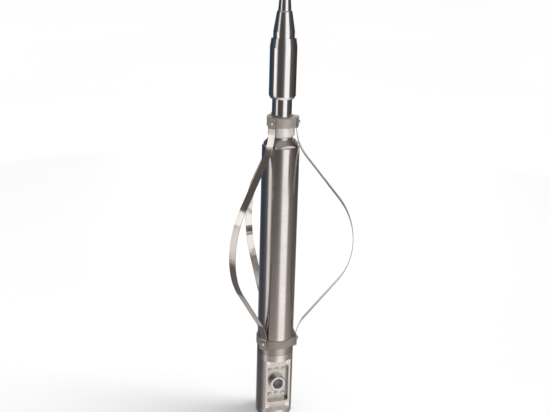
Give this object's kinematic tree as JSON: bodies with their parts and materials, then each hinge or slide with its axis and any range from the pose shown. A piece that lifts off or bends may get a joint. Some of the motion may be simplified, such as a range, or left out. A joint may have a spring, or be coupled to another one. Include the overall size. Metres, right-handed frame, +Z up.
{
  "type": "borehole inspection probe",
  "caption": "Slender stainless borehole probe with a side-view camera head, white lamps, bow-spring centralisers, a sliding collar, a coupling sleeve and a cable termination.",
  "frame": {"origin": "centre of the flat nose face at the foot of the camera head", "axes": "+Z up the probe's axis to the cable; -Y towards the viewer; the lens looks 18 degrees to the right of -Y"},
  "size_m": [0.1635, 0.1804, 0.6109],
  "materials": {
    "polished_steel": "polished stainless steel, fine turning marks",
    "tube_steel": "stainless tube brushed round the axis",
    "blasted_steel": "bead-blasted stainless steel",
    "satin_steel": "satin turned stainless steel",
    "plate_steel": "satin milled stainless steel",
    "spring_steel": "bright rolled spring strip",
    "screw_steel": "bright screws",
    "chassis_aluminium": "plain aluminium",
    "seal_rubber": "black nitrile",
    "insulator": "moulded connector insulator",
    "contact_gold": "gold-plated contacts",
    "bearing_steel": "ground bearing steel",
    "gear_brass": "machined brass",
    "motor_case": "drawn motor can",
    "slip_ring_body": "moulded capsule",
    "circuit_board": "solder-masked board",
    "chip_black": "moulded packages",
    "wiper_plastic": "acetal wiper",
    "clear_glass": "sapphire port",
    "lens_black": "anodised lens barrel",
    "lens_coating": "coated lens",
    "lamp_epoxy": "clear epoxy over phosphor"
  },
  "bodies": {
    "probe": {"cable_nose": "polished_steel", "cable_clamp_cone": "gear_brass", "termination_o_rings": "seal_rubber", "termination_cone": "polished_steel", "contact_pins": "contact_gold", "plug_insulator": "insulator", "socket_insulator": "insulator", "thread_wiper": "wiper_plastic", "neck_tube": "polished_steel", "lower_ring": "blasted_steel", "lower_clamp_plates": "blasted_steel", "lower_clamp_screws": "screw_steel", "main_tube": "tube_steel", "top_plug": "satin_steel", "top_plug_o_rings": "seal_rubber", "chassis_lower_disc": "chassis_aluminium", "chassis_upper_disc": "chassis_aluminium", "chassis_posts": "chassis_aluminium", "chassis_rail": "chassis_aluminium", "main_board": "circuit_board", "board_chips": "chip_black", "lower_bulkhead": "satin_steel", "bulkhead_o_rings": "seal_rubber", "shaft_seal": "seal_rubber", "bearing_outer_rings": "bearing_steel", "gearmotor": "motor_case", "motor_plate": "chassis_aluminium", "motor_standoffs": "screw_steel", "slip_ring": "slip_ring_body"},
    "slider": {"slider_bushing": "satin_steel", "upper_ring": "blasted_steel"},
    "sleeve": {"coupling_sleeve": "polished_steel"},
    "head": {"head_body": "satin_steel", "lens_plate": "plate_steel", "plate_gasket": "seal_rubber", "plate_screws": "screw_steel", "port_ring": "plate_steel", "port_glass": "clear_glass", "lens_barrel": "lens_black", "lens_element": "lens_coating", "camera_board": "circuit_board", "camera_posts": "chassis_aluminium", "lamps": "lamp_epoxy", "lamp_board": "circuit_board", "nose_cap": "satin_steel", "nose_o_ring": "seal_rubber", "head_shaft": "satin_steel", "shaft_nut": "satin_steel", "pan_gear": "gear_brass", "bearing_inner_rings": "bearing_steel", "bearing_balls": "bearing_steel"},
    "pinion": {"motor_pinion": "bearing_steel"},
    "bow_right": {"bow_spring_right": "spring_steel"},
    "bow_right_end": {"upper_clamp_right": "screw_steel"},
    "bow_rear": {"bow_spring_rear": "spring_steel"},
    "bow_rear_end": {"upper_clamp_rear": "screw_steel"},
    "bow_left": {"bow_spring_left": "spring_steel"},
    "bow_left_end": {"upper_clamp_left": "screw_steel"}
  },
  "joints": [
    {"name": "slider_slide", "type": "slide", "parent": "probe", "child": "slider", "axis": [0, 0, 1], "range_m": [0, 0.02], "stiffness_N_per_m": 800, "deforming": ["bow_spring_right", "bow_spring_rear", "bow_spring_left"]},
    {"name": "sleeve_turn", "type": "hinge", "parent": "probe", "child": "sleeve", "pos_m": [0, 0, 0.4923], "axis": [0, 0, 1], "continuous": true},
    {"name": "head_pan", "type": "hinge", "parent": "probe", "child": "head", "pos_m": [0, 0, 0.095], "axis": [0, 0, 1], "continuous": true},
    {"name": "pinion_spin", "type": "hinge", "parent": "probe", "child": "pinion", "pos_m": [0, 0.01505, 0.139], "axis": [0, 0, 1], "continuous": true},
    {"name": "bow_right_flatten", "type": "slide", "parent": "probe", "child": "bow_right", "axis": [-0.8293, 0.0682, 0.5547], "range_m": [0, 0.01803]},
    {"name": "bow_right_stretch", "type": "slide", "parent": "bow_right", "child": "bow_right_end", "axis": [0.8293, -0.0682, 0.5547], "range_m": [0, 0.01803]},
    {"name": "bow_rear_flatten", "type": "slide", "parent": "probe", "child": "bow_rear", "axis": [0.3556, -0.7522, 0.5547], "range_m": [0, 0.01803]},
    {"name": "bow_rear_stretch", "type": "slide", "parent": "bow_rear", "child": "bow_rear_end", "axis": [-0.3556, 0.7522, 0.5547], "range_m": [0, 0.01803]},
    {"name": "bow_left_flatten", "type": "slide", "parent": "probe", "child": "bow_left", "axis": [0.4737, 0.6841, 0.5547], "range_m": [0, 0.01803]},
    {"name": "bow_left_stretch", "type": "slide", "parent": "bow_left", "child": "bow_left_end", "axis": [-0.4737, -0.6841, 0.5547], "range_m": [0, 0.01803]}
  ],
  "couplings": [
    {"joint": "pinion_spin", "follows": "head_pan", "ratio": -4},
    {"joint": "bow_right_flatten", "follows": "slider_slide", "ratio": 0.90139},
    {"joint": "bow_right_stretch", "follows": "slider_slide", "ratio": 0.90139},
    {"joint": "bow_rear_flatten", "follows": "slider_slide", "ratio": 0.90139},
    {"joint": "bow_rear_stretch", "follows": "slider_slide", "ratio": 0.90139},
    {"joint": "bow_left_flatten", "follows": "slider_slide", "ratio": 0.90139},
    {"joint": "bow_left_stretch", "follows": "slider_slide", "ratio": 0.90139}
  ]
}
